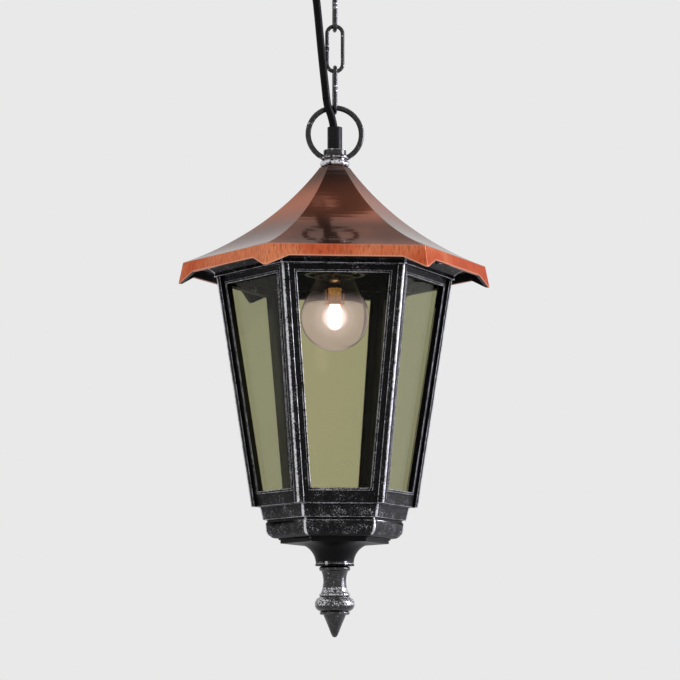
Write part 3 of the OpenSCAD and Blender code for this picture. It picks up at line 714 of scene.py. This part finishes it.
@dataclass(frozen=True)
class MouldedPlastic(Finish):
    """Moulded plastic or glazed ceramic with the mould's fine skin.

    The eye gets one even colour with a soft highlight and slight unevenness.
    Sizes are in mm.
    """

    name: str
    colour: str
    shade: str
    roughness: float = 0.35
    # Grain of the mould's skin and how deep it is
    grain: float = 0.8
    depth: float = 0.03
    shine: float = 0.25
    # Size of the places where the colour is a little uneven
    cloud: float = 11.0

    def surface(self, tree: Tree, place: Socket) -> Socket:
        """Shade the moulding slightly and give it its skin.

        Args:
            tree: the material's tree.
            place: the point on the piece.

        Returns:
            The shader.
        """
        skin, cloud = (
            add_node(tree, "TexNoise", {"Vector": place, "Scale": per_mm(size), "Detail": detail})
            for size, detail in ((self.grain, 3.0), (self.cloud, 2.0))
        )
        share = add_node(tree, "MapRange", [cloud, 0.35, 0.7], SMOOTH)
        colour = add_node(tree, "Mix", {0: share, 6: self.colour, 7: self.shade}, COLOURS, 2)
        smooth, rough = self.roughness - 0.05, self.roughness + 0.05
        rough = add_node(tree, "MapRange", [cloud, 0.3, 0.7, smooth, rough], SMOOTH)
        normal = add_node(
            tree, "Bump", {"Strength": 0.3, "Distance": self.depth * MM, "Height": skin}
        )
        return add_node(
            tree,
            "BsdfPrincipled",
            {
                "Base Color": colour,
                "Roughness": rough,
                "Specular IOR Level": self.shine,
                "Normal": normal,
            },
        )


@dataclass(frozen=True)
class PaleFloor(Finish):
    """Matt pale studio floor.

    The eye gets a plain light grey with the lantern's soft shadow, and nothing from below.
    """

    name: str = "pale_floor"
    colour: str = "#9c9c9e"
    shown: str = "#eeeeef"
    shown_strength: float = 0.55

    def surface(self, tree: Tree, place: Socket) -> Socket:
        """Show the floor pale to the rays that show the room, and only from above.

        Args:
            tree: the material's tree.
            place: the point on the floor, which its plain colour doesn't need.

        Returns:
            The shader.
        """
        strength = add_node(
            tree, "MapRange", [seen_rays(tree), 0.0, 1.0, 0.0, self.shown_strength], SMOOTH
        )
        matt = add_node(
            tree,
            "BsdfPrincipled",
            {
                "Base Color": self.colour,
                "Roughness": 0.8,
                "Specular IOR Level": 0.2,
                "Emission Color": self.shown,
                "Emission Strength": strength,
            },
        )
        # A hanging lantern is also looked at from below, where the floor would hide it
        below = add_node(tree, "NewGeometry", output="Backfacing")
        clear = add_node(tree, "BsdfTransparent")
        return add_node(tree, "MixShader", [below, matt, clear])


CASTING = RubbedCastAluminium()
CASTING_BASE = RubbedCastAluminium(
    "rubbed_cast_base",
    rubbed=0.5,
    grain=0.65,
    dust=0.07,
    bright_band=(-0.4410, -0.4388),
    bright_extra=0.5,
)
CASTING_FINIAL = RubbedCastAluminium(
    "rubbed_cast_finial",
    rubbed=0.4,
    band=0.9,
    grain=0.9,
    patch=5.0,
    pebble=2.0,
    corner_wear=0,
    calm_below=-1.0,
    bright_band=(-0.4675, -0.4555),
    bright_extra=0.19,
    dust=0.08,
    shine=0.5,
    roughness=0.24,
)
CASTING_RING = RubbedCastAluminium(
    "rubbed_cast_ring",
    rubbed=0.44,
    band=0.6,
    grain=2.0,
    corner_wear=0,
    inward_black=False,
    bright_band=(-0.19, -0.1735),
    bright_extra=0.27,
    shine=0.45,
    roughness=0.18,
)
CHAIN_PAINT = RubbedCastAluminium(
    "chain_black_and_silver",
    rubbed=0.46,
    band=0.4,
    grain=1.3,
    corner_wear=0,
    inward_black=False,
    shine=0.5,
    roughness=0.22,
)
CHAIN_WELD = RubbedCastAluminium(
    "chain_weld_scale", rubbed=0.05, band=0.2, corner_wear=0, inward_black=False, dust=0.1
)
ROOF_PAINT = LacqueredCopperPaint()
PANE_GLASS = TintedFloatGlass()
BULB_GLASS = BlownBulbGlass()
STEM_GLASS = BlownBulbGlass("drawn_stem_glass", "#e9e2da", "#e9e2da", glow=(0.0, 0.0), blaze=0.0)
CAPSULE = LitHalogenCapsule()
# Screws and fittings: a cool grey with duller patches
ZINC_STEEL = TurnedMetal("zinc_plated_steel", "#b9bcc0", "#8f9398", 0.34)
BRASS = TurnedMetal("pressed_brass", "#c9a463", "#9b7a42", 0.28)
NICKEL = TurnedMetal("nickel_plated_brass", "#b7b2a8", "#8e8a82", 0.25)
# Beside the burning capsule: warm metal with a painted glow standing in for its light
COPPER = TurnedMetal("bright_copper_strip", "#d08a50", "#a0602f", 0.22, lit=0.25)
LIT_BRASS = TurnedMetal("pressed_brass_by_the_capsule", "#dba765", "#8d5c2c", 0.2, lit=0.28)
# Heat-blued clips: dark and only faintly shiny
SPRING_STEEL = TurnedMetal("blued_spring_steel", "#6e7076", "#4a4c52", 0.3)
ROSE_PAINT = MouldedPlastic("satin_black_paint", "#1b1b1d", "#222225", 0.4, 1.0)
NYLON = MouldedPlastic("black_nylon", "#0c0c0e", "#141416", 0.38, shine=0.14)
TERMINAL = MouldedPlastic("white_polypropylene", "#e9e7e1", "#dedbd3", 0.45)
HOLDER = MouldedPlastic("black_phenolic", "#0f0f11", "#17171a", 0.22, 1.4)
# Ceramic glaze: warm white with a clean highlight
STEATITE = MouldedPlastic("glazed_steatite", "#ece8df", "#dcd6ca", 0.25, 1.6)
# Cable jacket: dull black, hardly any highlight
SHEATH = MouldedPlastic("black_pvc_sheath", "#0a0a0b", "#101012", 0.4, 1.2, 0.02, 0.07)


# --------------------------------------------------------------------------- studio


@dataclass(frozen=True)
class SoftLamp:
    """Round area lamp: its place and width in m, its watts and its colour."""

    name: str
    place: Point
    width: float
    watts: float
    colour: str
    # Only one lamp is mirrored: the others would draw a hard band on the roof
    mirrored: bool = False

    def hang(self, aim: Point) -> None:
        """Put the lamp up and turn it to the lantern.

        Args:
            aim: the point that it shines at.
        """
        data = bpy.data.lights.new(self.name, "AREA")
        data.shape = "DISK"
        data.size = self.width
        data.energy = self.watts
        data.color = linear(self.colour)[:3]
        lamp = bpy.data.objects.new(self.name, data)
        lamp.location = self.place
        towards = Vector(aim) - Vector(self.place)
        lamp.rotation_euler = towards.to_track_quat("-Z", "Y").to_euler()
        lamp.visible_glossy = self.mirrored
        # The panes show the pale room behind them and not a lamp's disk
        lamp.visible_transmission = False
        bpy.context.collection.objects.link(lamp)


@dataclass
class Studio:
    """Camera, lamps, pale world and floor. Places are in m and turns in degrees."""

    lens: float = 147.9
    sensor: float = 36.0
    far_clip: float = 50.0
    stand: Point = (-0.1493, -1.8038, -0.522)
    pitch: float = 7.17
    turn: float = -4.84
    aim: Point = (0.0, 0.0, -0.36)
    lamps: tuple[SoftLamp, ...] = (
        SoftLamp("upper_front_left", (-1.3, -1.9, 0.75), 1.1, 26.0, "#fff8f0"),
        SoftLamp("right_side", (2.3, -0.05, 0.1), 1.3, 75.0, "#f1eeff", mirrored=True),
        SoftLamp("top", (0.2, 0.3, 1.7), 1.2, 16.0, "#ffffff"),
        SoftLamp("left_low", (-2.0, 0.2, -0.5), 1.0, 8.0, "#f4f8ff"),
    )
    # What lights the lantern, and what the camera, metal and glass see
    room_light: tuple[str, float] = ("#f1f0f4", 0.3)
    room_seen: tuple[str, float] = ("#f4f4f4", 0.9)
    floor_height: float = -0.70
    floor_half: float = 6.0

    def build(self) -> None:
        """Set the camera first, then the lamps, the world and the floor."""
        self.camera()
        for lamp in self.lamps:
            lamp.hang(self.aim)
        self.world()
        self.floor()
        bpy.context.scene.view_settings.view_transform = "Standard"
        LOG.info("studio set with %d lamps", len(self.lamps))

    def camera(self) -> None:
        """Put the camera where the photograph was taken from."""
        data = bpy.data.cameras.new("camera")
        data.lens = self.lens
        data.sensor_width = self.sensor
        data.clip_end = self.far_clip
        camera = bpy.data.objects.new("camera", data)
        camera.location = self.stand
        camera.rotation_euler = (math.radians(90 + self.pitch), 0.0, math.radians(self.turn))
        bpy.context.collection.objects.link(camera)
        bpy.context.scene.camera = camera

    def world(self) -> None:
        """Light the object softly and show white to the camera, metal and glass."""
        world = bpy.data.worlds.new("studio")
        bpy.context.scene.world = world
        world.use_nodes = True
        tree = world.node_tree
        tree.nodes.clear()
        light, shown = (
            add_node(tree, "Background", {"Color": colour, "Strength": strength})
            for colour, strength in (self.room_light, self.room_seen)
        )
        mixed = add_node(tree, "MixShader", [seen_rays(tree), light, shown])
        add_node(tree, "OutputWorld", {"Surface": mixed})

    def floor(self) -> None:
        """Lay a plain pale floor well below the lantern."""
        mesh = bpy.data.meshes.new("floor")
        half = self.floor_half
        corners = [(-half, -half), (half, -half), (half, half), (-half, half)]
        mesh.from_pydata([(x, y, self.floor_height) for x, y in corners], [], [(0, 1, 2, 3)])
        mesh.materials.append(PaleFloor().material())
        floor = bpy.data.objects.new("floor", mesh)
        bpy.context.collection.objects.link(floor)


# --------------------------------------------------------------------------- making pieces


class Ends(Enum):
    """How a piece that is built of rings ends."""

    CAPPED = auto()
    OPEN = auto()
    JOINED = auto()


def smooth_route(points: Sequence[Point], step: float = 1.2) -> list[Vector]:
    """Run an even curve through points given in millimetres.

    Args:
        points: the route's points.
        step: distance between two points of the curve, in mm.

    Returns:
        The curve's points in metres.
    """
    pts = [Vector(p) for p in points]
    ends = [pts[0] * 2 - pts[1]] + pts + [pts[-1] * 2 - pts[-2]]
    out: list[Vector] = []
    for i in range(1, len(ends) - 2):
        a, b, c, d = ends[i - 1 : i + 3]
        count = max(2, round((c - b).length / step))
        square, cube = 2 * a - 5 * b + 4 * c - d, 3 * b - a - 3 * c + d
        for t in (k / count for k in range(count)):
            out.append(0.5 * (2 * b + (c - a) * t + square * t * t + cube * t * t * t))
    out.append(pts[-1])
    return [p * MM for p in out]


def ring_about(
    centre: Vector,
    radii: Sequence[float],
    across: Vector | None = None,
    other: Vector | None = None,
) -> list[Vector]:
    """Place points around a centre, one for each radius.

    Args:
        centre: the ring's middle.
        radii: how far out each point is.
        across: direction of the first point, X unless another is given.
        other: direction a quarter turn further, Y unless another is given.

    Returns:
        The points.
    """
    across, other = across or Vector((1, 0, 0)), other or Vector((0, 1, 0))
    turns = [2 * math.pi * k / len(radii) for k in range(len(radii))]
    return [
        centre + (across * math.cos(turn) + other * math.sin(turn)) * radius
        for turn, radius in zip(turns, radii)
    ]


def skin_rings(name: str, rings: Sequence[Sequence[Vector]], ends: Ends) -> bpy.types.Object:
    """Join rings of equally many points into one smooth-shaded piece.

    Args:
        name: the object's name.
        rings: the rings in their order, in metres.
        ends: whether the first and last ring are capped, left open or joined.

    Returns:
        The piece.
    """
    bm = bmesh.new()
    loops = [[bm.verts.new(p) for p in ring] for ring in rings]
    for low, high in zip(loops, loops[1:] + (loops[:1] if ends is Ends.JOINED else [])):
        for k in range(len(low)):
            after = (k + 1) % len(low)
            bm.faces.new((low[k], low[after], high[after], high[k]))
    if ends is Ends.CAPPED:
        bm.faces.new(list(reversed(loops[0])))
        bm.faces.new(loops[-1])
    bmesh.ops.recalc_face_normals(bm, faces=bm.faces)
    mesh = bpy.data.meshes.new(name)
    bm.to_mesh(mesh)
    bm.free()
    mesh.shade_smooth()
    mesh.set_sharp_from_angle(angle=math.radians(NEW_PIECE_CREASE))
    thing = bpy.data.objects.new(name, mesh)
    bpy.context.collection.objects.link(thing)
    return thing


def tube(name: str, line: Sequence[Vector], radius: float, sides: int = 24) -> bpy.types.Object:
    """Sweep a round section along a line and close both ends.

    Args:
        name: the object's name.
        line: points in metres.
        radius: in metres.
        sides: number of points around.

    Returns:
        The tube.
    """
    rings = []
    across = Vector((1, 0, 0))
    for i, p in enumerate(line):
        along = (line[min(i + 1, len(line) - 1)] - line[max(i - 1, 0)]).normalized()
        across = (across - along * across.dot(along)).normalized()
        rings.append(ring_about(p, [radius] * sides, across, along.cross(across)))
    return skin_rings(name, rings, Ends.CAPPED)


def lathe(
    name: str, profile: Sequence[tuple[float, float]], place: Point, sides: int
) -> bpy.types.Object:
    """Turn a profile about an upright axis. Its ends lie inside what carries the piece.

    Args:
        name: the object's name.
        profile: radius and height of each point, in mm, from top to bottom.
        place: the axis's foot in mm.
        sides: number of points around.

    Returns:
        The turned piece.
    """
    foot = Vector(place)
    rings = [
        ring_about((foot + Vector((0, 0, z))) * MM, [r * MM] * sides) for r, z in profile
    ]
    return skin_rings(name, rings, Ends.OPEN)


def fluted_sleeve(
    name: str, centre: Point, radius: float, height: float, flutes: int, depth: float
) -> bpy.types.Object:
    """Press an open sleeve with upright flutes, with rolled ends.

    Args:
        name: the object's name.
        centre: the sleeve's middle, in mm.
        radius: mean radius, in mm.
        height: its height, in mm.
        flutes: number of flutes around.
        depth: how deep they are, in mm.

    Returns:
        The sleeve, 0.4 mm thick.
    """
    wall, sides = 0.4, flutes * 8
    # Radius added and share of the height, down the outside and up the inside
    profile = [(0.3, 0.5), (0.0, 0.42), (0.0, -0.42), (0.3, -0.5)]
    profile += [(extra - wall, share) for extra, share in reversed(profile)]
    waves = [depth * math.cos(flutes * 2 * math.pi * k / sides) for k in range(sides)]
    rings = [
        ring_about(
            (Vector(centre) + Vector((0, 0, share * height))) * MM,
            [(radius + extra + wave) * MM for wave in waves],
        )
        for extra, share in profile
    ]
    return skin_rings(name, rings, Ends.JOINED)


def coat(thing: bpy.types.Object, finish: Finish, body: str | None) -> None:
    """Give a new piece its material and the body that it moves with.

    Args:
        thing: the piece.
        finish: its finish.
        body: the body's name, or None for a piece that goes with no body.
    """
    thing.data.materials.append(finish.material())
    if body:
        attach(thing, body)
    LOG.info("%s made in %s", thing.name, finish.name)


def dress(nodes: Sequence[str], finish: Finish, crease: float | None = CREASE) -> None:
    """Give CAD nodes their material in every slot and shade their arcs as curves.

    Args:
        nodes: the nodes' names.
        finish: the finish that they share.
        crease: faces that meet at less than this are shaded as one, in degrees, or None
            for pieces of flat faces, which keep the CAD's shading.
    """
    for node in nodes:
        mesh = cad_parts[node].data
        if not mesh.materials:
            mesh.materials.append(None)
        for i in range(len(mesh.materials)):
            mesh.materials[i] = finish.material()
        if crease is not None:
            mesh.shade_smooth()
            mesh.set_sharp_from_angle(angle=math.radians(crease))
        LOG.info("%s dressed in %s", node, finish.name)


# --------------------------------------------------------------------------- sub-assemblies


@dataclass(frozen=True)
class Stretch:
    """One stretch of the cord, between two bodies."""

    node: str
    bodies: tuple[str, str]
    # Where the bend begins and ends, in mm
    bend: tuple[Point, Point]
    # The route of the CAD solid, from its lower end up, in mm
    route: tuple[Point, ...]

    def lay(self, diameter: float) -> None:
        """Args:
            diameter: in metres.
        """
        line = smooth_route(self.route)
        piece = tube(self.node + "_sheath", line, diameter / 2)
        coat(piece, SHEATH, None)
        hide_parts(self.node)
        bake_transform(piece)


@dataclass
class SupplyCord:
    """Round black cord in four stretches."""

    diameter: float = 5.2
    stretches: tuple[Stretch, ...] = (
        Stretch(
            "cord_lower",
            ("lantern", "link_lower"),
            ((-0.9, -1.2, -153), (-6.1, -6.5, -135)),
            (
                (0, 0, -216), (0, 0, -196), (0, 0, -182), (0, 0, -166), (-0.4, -0.5, -159),
                (-0.9, -1.2, -153), (-2.5, -2.9, -146.5), (-5, -5, -140), (-6.1, -6.5, -135),
            ),
        ),
        Stretch(
            "cord_middle_lower",
            ("link_lower", "link_middle"),
            ((-6.7, -7, -130), (-9.4, -6.8, -104)),
            (
                (-6.1, -6.5, -135), (-7, -7.2, -127), (-7.9, -7.3, -119), (-8.7, -7, -111),
                (-9.5, -6.8, -103),
            ),
        ),
        Stretch(
            "cord_middle_upper",
            ("link_middle", "link_upper"),
            ((-9.9, -6.7, -98), (-12.4, -6.2, -72)),
            ((-9.5, -6.8, -103), (-10.4, -6.5, -93), (-11.4, -6.3, -82), (-12.5, -6.2, -71)),
        ),
        Stretch(
            "cord_upper",
            ("link_upper", "ceiling"),
            ((-12.6, -6.2, -70), (-16, -6, -50)),
            (
                (-12.5, -6.2, -71), (-14, -6.1, -61), (-15.8, -6, -51), (-17.2, -6, -43),
                (-18, -6, -36), (-18, -6, -25), (-18, -6, -14),
            ),
        ),
    )

    def build(self) -> None:
        """Lay the stretches one after the other."""
        for stretch in self.stretches:
            stretch.lay(self.diameter * MM)


class WireCore(Enum):
    """The supply cord's three insulated cores and their colours."""

    LIVE = "#5c3420"
    NEUTRAL = "#23479a"
    EARTH = "#5f8f2e"


@dataclass
class CeilingFitting:
    """Bracket, rose, hook, cord grip and terminal block above the photograph's edge."""

    steel: tuple[str, ...] = ("ceiling_bracket", "ceiling_hook", "hook_nuts", "rose_nut")
    grip: tuple[str, ...] = ("rose_cord_grip", "rose_grip_nut")
    core_radius: float = 1.0
    core_sides: int = 16
    core_step: float = 0.8
    core_routes: dict[WireCore, tuple[Point, ...]] = field(
        default_factory=lambda: {
            WireCore.LIVE: (
                (-19, -6, -14.6), (-20, -9, -16.2), (-21, -14, -16.8), (-21.4, -18, -14.4),
                (-21.3, -18.4, -11.4), (-21.1, -16, -10.1), (-21.1, -13, -10),
            ),
            WireCore.NEUTRAL: (
                (-17, -6, -14.6), (-16, -9, -16.2), (-15, -14, -16.6), (-14.6, -17.6, -14.2),
                (-14.7, -18, -11.4), (-14.9, -16, -10.1), (-14.9, -13, -10),
            ),
            WireCore.EARTH: (
                (-18, -5, -14.6), (-18, -1, -16.4), (-17.4, 3, -15.8), (-15, 7, -12),
                (-11, 11, -9.6), (-6, 14, -9.2), (-1, 15, -10.4),
            ),
        }
    )

    def build(self) -> None:
        """Dress the fitting and wire it."""
        dress(self.steel, ZINC_STEEL)
        dress(("ceiling_rose",), ROSE_PAINT)
        dress(self.grip, NYLON)
        dress(("terminal_block",), TERMINAL, None)
        self.cores()

    def cores(self) -> None:
        """Lead the cord's three cores from its end to the terminals and the bracket."""
        for core, points in self.core_routes.items():
            label = core.name.lower()
            line = smooth_route(points, self.core_step)
            piece = tube(f"core_{label}", line, self.core_radius * MM, self.core_sides)
            insulation = MouldedPlastic(f"pvc_core_{label}", core.value, core.value)
            coat(piece, insulation, "ceiling")


@dataclass
class Chain:
    """Three welded oval links. Sizes are in mm."""

    # Each link and the body that it moves with
    links: tuple[tuple[str, str], ...] = (
        ("chain_link_upper", "link_upper"),
        ("chain_link_middle", "link_middle"),
        ("chain_link_lower", "link_lower"),
    )
    crease: float = 40.0
    wire: float = 2.6
    weld_length: float = 3.4
    weld_proud: float = 0.2
    weld_sides: int = 20

    def build(self) -> None:
        """Dress the links and add the weld that closes each."""
        for node, body in self.links:
            dress((node,), CHAIN_PAINT, self.crease)
            self.weld(node, body)

    def weld(self, node: str, body: str) -> None:
        """Swell one straight side of a link where its wire was welded.

        Args:
            node: the link.
            body: the body that it moves with.
        """
        low, high = (Vector(c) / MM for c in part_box(node))
        middle = (low + high) / 2
        across = 0 if high.x - low.x > high.y - low.y else 1
        radius, half, proud = self.wire / 2, self.weld_length / 2, self.weld_proud
        middle[across] = low[across] + radius
        # The swelling rises quickly, is slightly waisted in its middle and ends in the wire
        upper = [
            (radius * 0.6, half),
            (radius + 0.02, half * 0.92),
            (radius + proud, half * 0.4),
        ]
        lower = [(r, -z) for r, z in reversed(upper)]
        profile = upper + [(radius + proud * 0.8, 0.0)] + lower
        piece = lathe(node + "_weld", profile, tuple(middle), self.weld_sides)
        coat(piece, CHAIN_WELD, body)


@dataclass
class HangingFixing:
    """Ring with its collar, cord bush and the hollow screw through the roof."""

    screw: tuple[str, ...] = ("threaded_tube", "tube_washer", "tube_nut")

    def build(self) -> None:
        """Dress the fixing."""
        dress(("hanging_loop",), CASTING_RING)
        dress(("cord_grip",), NYLON)
        dress(self.screw, ZINC_STEEL)


@dataclass
class Body:
    """Roof, cornice, cage, base and finial of the lantern. Creases are in degrees."""

    screws: tuple[str, ...] = (
        "roof_screws",
        "cage_screws",
        "base_screws",
        "finial_stud",
        "finial_nut",
    )
    # The sweep's facets are shaded as one, and its ridges stay sharp
    sweep_crease: float = 12.0
    base_crease: float = 20.0

    def build(self) -> None:
        """Dress the castings and their screws."""
        dress(("roof",), ROOF_PAINT, self.sweep_crease)
        dress(("cornice",), CASTING, self.sweep_crease)
        dress(("cage",), CASTING, None)
        dress(("base",), CASTING_BASE, self.base_crease)
        dress(("finial",), CASTING_FINIAL)
        dress(self.screws, ZINC_STEEL)


@dataclass
class Glazing:
    """Six panes and the spring clips that hold them."""

    panes: tuple[str, ...] = (
        "pane_front",
        "pane_front_right",
        "pane_back_right",
        "pane_back",
        "pane_back_left",
        "pane_front_left",
    )

    def build(self) -> None:
        """Dress the panes and clips."""
        dress(self.panes, PANE_GLASS, None)
        dress(("pane_clips",), SPRING_STEEL, None)


@dataclass
class Lamp:
    """Lampholder and the lit bulb in it. Sizes are in mm."""

    crease: float = 35.0
    # Top of the capsule's glass, and how far above it the clamp and the bead have their middles
    capsule_top: Point = (0.0, 0.0, -271.2)
    clamp_rise: float = 5.4
    bead_rise: float = 17.0
    clamp_radius: float = 4.0
    clamp_height: float = 10.5
    flutes: int = 9
    flute_depth: float = 0.45
    bead_sides: int = 28

    def build(self) -> None:
        """Dress the lampholder and the bulb."""
        for nodes, finish in (
            (("lampholder_cap", "lampholder_skirt"), HOLDER),
            (("lampholder_insert",), STEATITE),
            (("lampholder_sleeve",), BRASS),
            (("bulb_cap",), NICKEL),
            (("bulb_stem",), STEM_GLASS),
            (("bulb_supports",), COPPER),
            (("bulb_glass",), BULB_GLASS),
            (("bulb_capsule",), CAPSULE),
        ):
            dress(nodes, finish, self.crease)
        self.clamp()
        self.bead()

    def clamp(self) -> None:
        """Press a fluted brass clamp on the capsule's pinch."""
        x, y, z = self.capsule_top
        centre = (x, y, z + self.clamp_rise)
        size = (self.clamp_radius, self.clamp_height, self.flutes, self.flute_depth)
        coat(fluted_sleeve("capsule_clamp", centre, *size), LIT_BRASS, "lantern")

    def bead(self) -> None:
        """Set a bead on the stem above the clamp."""
        x, y, z = self.capsule_top
        upper = [(0.3, 2.2), (1.9, 1.7), (2.8, 0.6)]
        profile = upper + [(r, -height) for r, height in reversed(upper)]
        piece = lathe("stem_bead", profile, (x, y, z + self.bead_rise), self.bead_sides)
        coat(piece, NICKEL, "lantern")


def main() -> None:
    """Build the studio, the cord and each sub-assembly in order."""
    logging.basicConfig(level=logging.INFO, format="%(name)s: %(message)s")
    for part in (
        Studio(),
        SupplyCord(),
        CeilingFitting(),
        Chain(),
        HangingFixing(),
        Body(),
        Glazing(),
        Lamp(),
    ):
        part.build()


if __name__ == "__main__":
    main()
